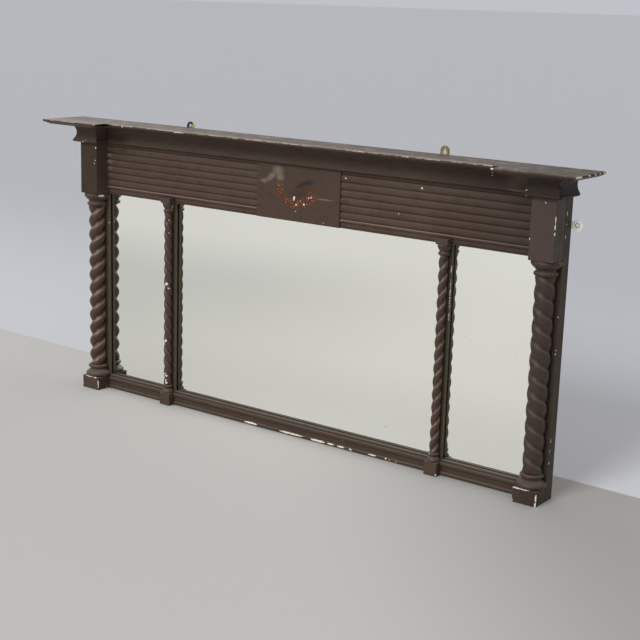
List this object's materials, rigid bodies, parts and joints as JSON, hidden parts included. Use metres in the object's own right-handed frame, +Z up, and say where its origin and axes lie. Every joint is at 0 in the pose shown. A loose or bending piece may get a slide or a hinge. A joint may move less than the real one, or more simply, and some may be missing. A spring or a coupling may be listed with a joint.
{
  "type": "overmantel mirror",
  "caption": "Wide overmantel mirror: dark painted frame, breakfront cornice, reeded frieze with a plain tablet, rope-twist columns on plinths, and upright mirror plates between them.",
  "frame": {"origin": "middle of the box around the part, at the level of its foot", "axes": "+X along the width to the right as seen from the front, +Y to the back and the wall, -Y to the front, +Z up"},
  "size_m": [1.32, 0.127, 0.647],
  "materials": {
    "painted_frame": "old dark brown paint on pine, dull with a slight sheen",
    "painted_trim": "old dark brown paint over a pale ground, dull, worn through at the arrises",
    "painted_columns": "old dark brown paint over a pale ground, a little glossier on the high parts",
    "cornice_slab": "dark brown paint under grey-brown dust, rubbed along the edges",
    "bare_pine": "bare softwood, aged",
    "silvered_glass": "silvered plate glass, old but clear",
    "nails": "dull iron",
    "brass": "dull sheet brass",
    "painted_plate": "cream paint, dull",
    "screws": "dull brass"
  },
  "bodies": {
    "root": {"stile_left": "painted_frame", "stile_right": "painted_frame", "top_rail": "painted_frame", "bottom_rail": "painted_frame", "mullion_left": "painted_frame", "mullion_right": "painted_frame", "mirror_glass_left": "silvered_glass", "mirror_glass_centre": "silvered_glass", "mirror_glass_right": "silvered_glass", "backboard_left": "bare_pine", "backboard_centre": "bare_pine", "backboard_right": "bare_pine", "glazing_blocks": "bare_pine", "panel_pins": "nails", "end_block_left": "painted_trim", "end_block_right": "painted_trim", "reeded_panel_left": "painted_trim", "reeded_panel_right": "painted_trim", "tablet": "painted_trim", "frieze_bead_left": "painted_trim", "frieze_bead_right": "painted_trim", "crown_centre": "painted_trim", "crown_front_left": "painted_trim", "crown_front_right": "painted_trim", "crown_inner_return_left": "painted_trim", "crown_inner_return_right": "painted_trim", "crown_outer_return_left": "painted_trim", "crown_outer_return_right": "painted_trim", "slab_centre": "cornice_slab", "slab_end_left": "cornice_slab", "slab_end_right": "cornice_slab", "slab_nails": "nails", "sill_left": "painted_trim", "sill_centre": "painted_trim", "sill_right": "painted_trim", "plinth_outer_left": "painted_trim", "plinth_outer_right": "painted_trim", "plinth_inner_left": "painted_trim", "plinth_inner_right": "painted_trim", "base_outer_left": "painted_columns", "base_outer_right": "painted_columns", "base_inner_left": "painted_columns", "base_inner_right": "painted_columns", "twist_shaft_outer_left": "painted_columns", "twist_shaft_outer_right": "painted_columns", "twist_shaft_inner_left": "painted_columns", "twist_shaft_inner_right": "painted_columns", "capital_outer_left": "painted_columns", "capital_outer_right": "painted_columns", "capital_inner_left": "painted_columns", "capital_inner_right": "painted_columns", "abacus_left": "painted_trim", "abacus_right": "painted_trim", "brass_plate_left": "brass", "brass_plate_right": "brass", "side_plate": "painted_plate", "plate_screws": "screws"}
  },
  "joints": []
}
